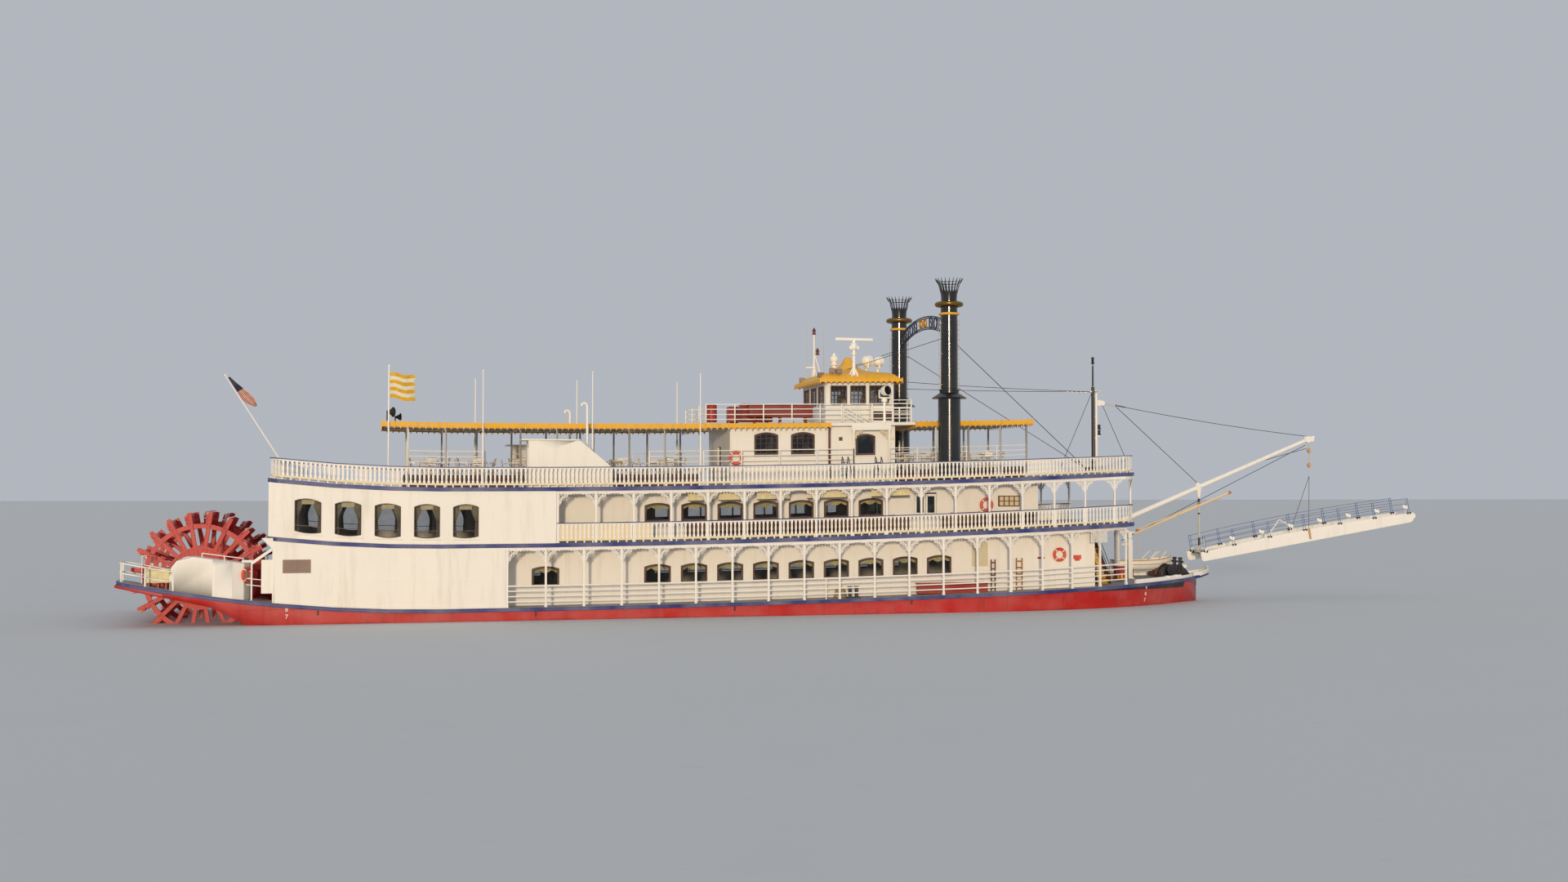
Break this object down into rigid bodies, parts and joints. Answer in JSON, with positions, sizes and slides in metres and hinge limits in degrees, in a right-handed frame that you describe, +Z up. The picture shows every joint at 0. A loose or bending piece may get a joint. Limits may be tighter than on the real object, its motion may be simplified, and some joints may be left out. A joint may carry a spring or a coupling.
{
  "type": "sternwheel paddle boat, half-size scale model",
  "caption": "Half-size river boat with three decks, a stern paddle wheel, twin crowned stacks, a bell-roofed pilothouse and a bow boom holding a landing stage.",
  "frame": {"origin": "on the centreline at the flat bottom of the hull, halfway along the hull's main deck length", "axes": "+X forward towards the bow, +Y to port, +Z up. The waterline is at z = 0.93."},
  "size_m": [36.054, 6.1, 9.805],
  "materials": {
    "hull_red": "weathered gloss enamel",
    "guard_navy": "gloss enamel",
    "wheel_red": "gloss enamel, wet at the rim",
    "house_white": "satin enamel with light rust streaks",
    "rail_white": "painted satin",
    "floor_brown": "painted satin",
    "roof_yellow": "satin enamel",
    "stack_black": "gloss black",
    "engine_grey": "painted casting",
    "spar_white": "satin enamel",
    "stay_steel": "dull wire",
    "flag_cloth": "woven nylon"
  },
  "bodies": {
    "boat": {"bow_bitts": "stack_black", "canopy_aft": "roof_yellow", "canopy_flag": "flag_cloth", "canopy_forward": "roof_yellow", "engine": "engine_grey", "foremast": "spar_white", "hull": "hull_red", "kingpost": "spar_white", "main_cabin_front": "house_white", "main_cabin_port": "house_white", "main_cabin_starboard": "house_white", "main_deck": "guard_navy", "main_railing_port": "rail_white", "main_railing_starboard": "rail_white", "pilothouse_port": "house_white", "pilothouse_roof": "roof_yellow", "pilothouse_starboard": "house_white", "raised_floor_aft": "floor_brown", "raised_floor_forward": "floor_brown", "roof_railing": "rail_white", "saloon_front": "house_white", "saloon_port": "house_white", "saloon_starboard": "house_white", "second_deck": "guard_navy", "second_railing_port": "rail_white", "second_railing_starboard": "rail_white", "skiff": "spar_white", "stack_arch": "stack_black", "stack_port": "stack_black", "stack_starboard": "stack_black", "stack_stays": "stay_steel", "stair_casing_port": "house_white", "stair_casing_starboard": "house_white", "stern_cabin_port": "house_white", "stern_cabin_starboard": "house_white", "stern_cabin_wall": "house_white", "stern_casing_port": "house_white", "stern_casing_starboard": "house_white", "stern_flag": "flag_cloth", "stern_house_port": "house_white", "stern_house_starboard": "house_white", "texas_port": "house_white", "texas_roof": "house_white", "texas_starboard": "house_white", "top_balustrade_port": "rail_white", "top_balustrade_starboard": "rail_white", "top_deck": "guard_navy"},
    "sternwheel": {"paddle_bay_starboard": "wheel_red", "paddle_bay_port": "wheel_red", "wheel_shaft": "wheel_red"},
    "rudder_blade_starboard": {"rudder_starboard": "hull_red"},
    "rudder_blade_port": {"rudder_port": "hull_red"},
    "boom_spar": {"boom": "spar_white", "pendant": "spar_white"},
    "stage": {"landing_stage": "spar_white"},
    "scanner": {"radar_scanner": "spar_white"},
    "door_aft_starboard": {"saloon_door_aft_starboard": "house_white"},
    "door_aft_port": {"saloon_door_aft_port": "house_white"},
    "door_forward_starboard": {"saloon_door_forward_starboard": "house_white"},
    "door_forward_port": {"saloon_door_forward_port": "house_white"}
  },
  "joints": [
    {"name": "sternwheel_turn", "type": "hinge", "parent": "boat", "child": "sternwheel", "pos_m": [-12.735, 0, 2.005], "axis": [0, 1, 0], "continuous": true},
    {"name": "rudder_starboard_turn", "type": "hinge", "parent": "boat", "child": "rudder_blade_starboard", "pos_m": [-10.45, -1.2, 0.57], "axis": [0, 0, 1], "range_deg": [-35, 35]},
    {"name": "rudder_port_turn", "type": "hinge", "parent": "boat", "child": "rudder_blade_port", "pos_m": [-10.45, 1.2, 0.57], "axis": [0, 0, 1], "range_deg": [-35, 35]},
    {"name": "boom_slew", "type": "hinge", "parent": "boat", "child": "boom_spar", "pos_m": [12.1, 0, 3.2], "axis": [0, 0, 1], "range_deg": [-60, 60]},
    {"name": "stage_pitch", "type": "hinge", "parent": "boom_spar", "child": "stage", "pos_m": [14.69806, 0, 2.40214], "axis": [0, -1, 0], "range_deg": [-20, 12]},
    {"name": "radar_turn", "type": "hinge", "parent": "boat", "child": "scanner", "pos_m": [3.86, -1.21, 8.15], "axis": [0, 0, 1], "continuous": true},
    {"name": "door_aft_starboard_swing", "type": "hinge", "parent": "boat", "child": "door_aft_starboard", "pos_m": [5.247, -2.2, 3.4], "axis": [0, 0, -1], "range_deg": [0, 100]},
    {"name": "door_forward_starboard_swing", "type": "hinge", "parent": "boat", "child": "door_forward_starboard", "pos_m": [5.853, -2.2, 3.4], "axis": [0, 0, 1], "range_deg": [0, 100]},
    {"name": "door_aft_port_swing", "type": "hinge", "parent": "boat", "child": "door_aft_port", "pos_m": [5.247, 2.2, 3.4], "axis": [0, 0, 1], "range_deg": [0, 100]},
    {"name": "door_forward_port_swing", "type": "hinge", "parent": "boat", "child": "door_forward_port", "pos_m": [5.853, 2.2, 3.4], "axis": [0, 0, -1], "range_deg": [0, 100]}
  ],
  "couplings": [
    {"joint": "rudder_port_turn", "follows": "rudder_starboard_turn", "ratio": 1}
  ]
}
